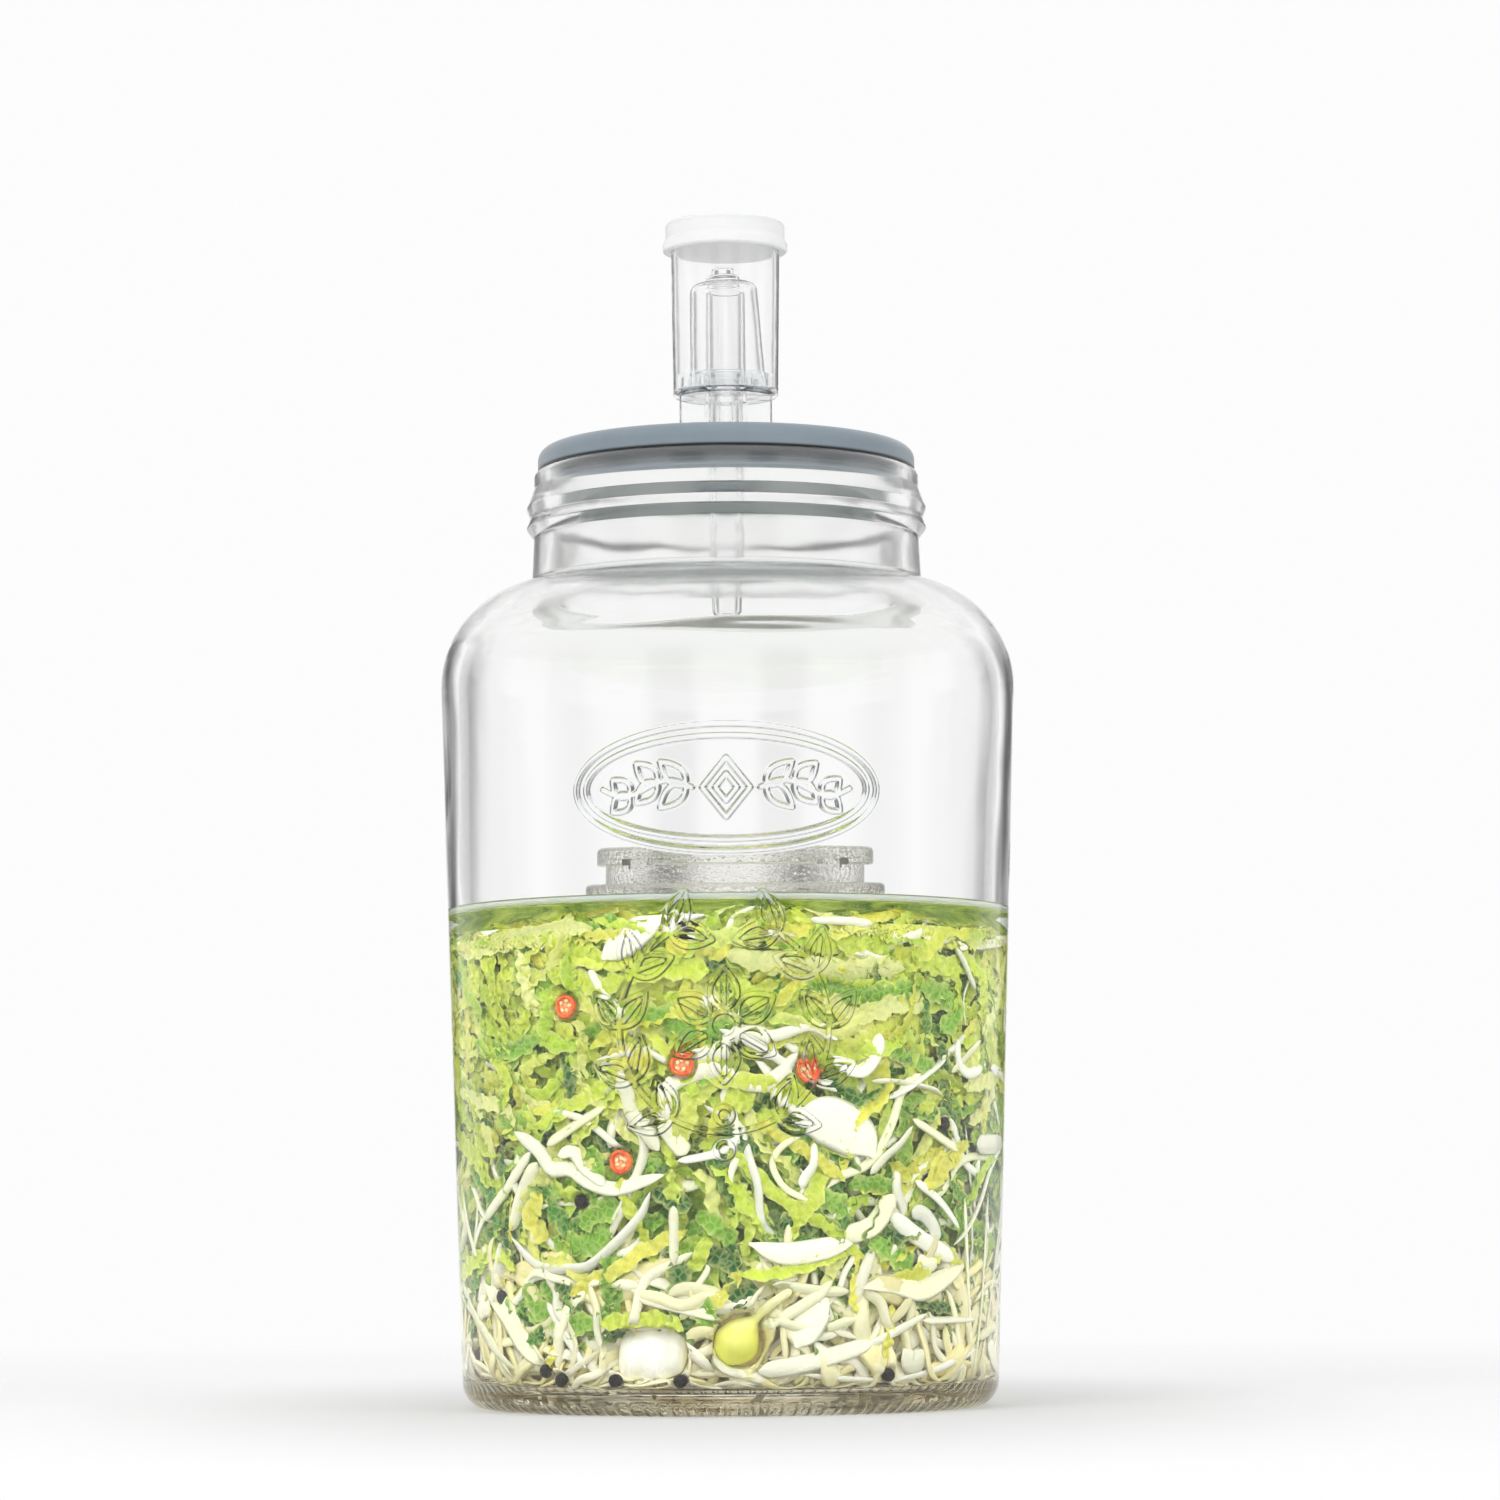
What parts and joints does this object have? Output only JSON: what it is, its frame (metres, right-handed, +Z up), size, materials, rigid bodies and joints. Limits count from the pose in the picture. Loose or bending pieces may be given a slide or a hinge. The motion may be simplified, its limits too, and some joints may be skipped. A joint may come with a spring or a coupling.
{
  "type": "fermentation jar",
  "caption": "Wide-neck glass jar with a silicone lid and a water-filled airlock, packed with shredded cabbage in brine under a spool-shaped glass weight.",
  "frame": {"origin": "centre of the jar's bearing ring, on the surface that the jar stands on", "axes": "+Z up along the jar's axis; -Y faces the viewer of the picture; +X to that viewer's right"},
  "size_m": [0.1768, 0.1768, 0.3655],
  "materials": {
    "jar_glass": "polished",
    "lid_silicone": "satin",
    "airlock_clear": "gloss",
    "airlock_milky": "satin",
    "water": "gloss",
    "weight_glass": "polished",
    "brine": "gloss",
    "cabbage_white": "satin",
    "cabbage_green": "satin",
    "onion": "satin",
    "peppercorn": "matte",
    "chilli": "gloss"
  },
  "bodies": {
    "jar": {"jar": "jar_glass", "brine": "brine", "cabbage_pale": "cabbage_white", "cabbage_green": "cabbage_green", "cabbage_core": "cabbage_white", "onion_bulb": "onion", "peppercorn_1": "peppercorn", "peppercorn_2": "peppercorn", "peppercorn_3": "peppercorn", "peppercorn_4": "peppercorn", "peppercorn_5": "peppercorn", "peppercorn_6": "peppercorn", "peppercorn_7": "peppercorn", "peppercorn_8": "peppercorn", "peppercorn_9": "peppercorn", "chilli_ring_1": "chilli", "chilli_ring_2": "chilli", "chilli_ring_3": "chilli", "chilli_ring_4": "chilli"},
    "weight": {"glass_weight": "weight_glass"},
    "lid": {"lid": "lid_silicone"},
    "airlock": {"airlock_body": "airlock_clear", "airlock_water": "water"},
    "bell": {"airlock_bell": "airlock_clear"},
    "cap": {"airlock_cap": "airlock_milky"}
  },
  "joints": [
    {"name": "weight_lift", "type": "slide", "parent": "jar", "child": "weight", "axis": [0, 0, 1], "range_m": [0, 0.065]},
    {"name": "lid_lift", "type": "slide", "parent": "jar", "child": "lid", "axis": [0, 0, 1], "range_m": [0, 0.1]},
    {"name": "airlock_lift", "type": "slide", "parent": "lid", "child": "airlock", "axis": [0, 0, 1], "range_m": [0, 0.07]},
    {"name": "bell_float", "type": "slide", "parent": "airlock", "child": "bell", "axis": [0, 0, 1], "range_m": [0, 0.011]},
    {"name": "cap_lift", "type": "slide", "parent": "airlock", "child": "cap", "axis": [0, 0, 1], "range_m": [0, 0.05]}
  ]
}
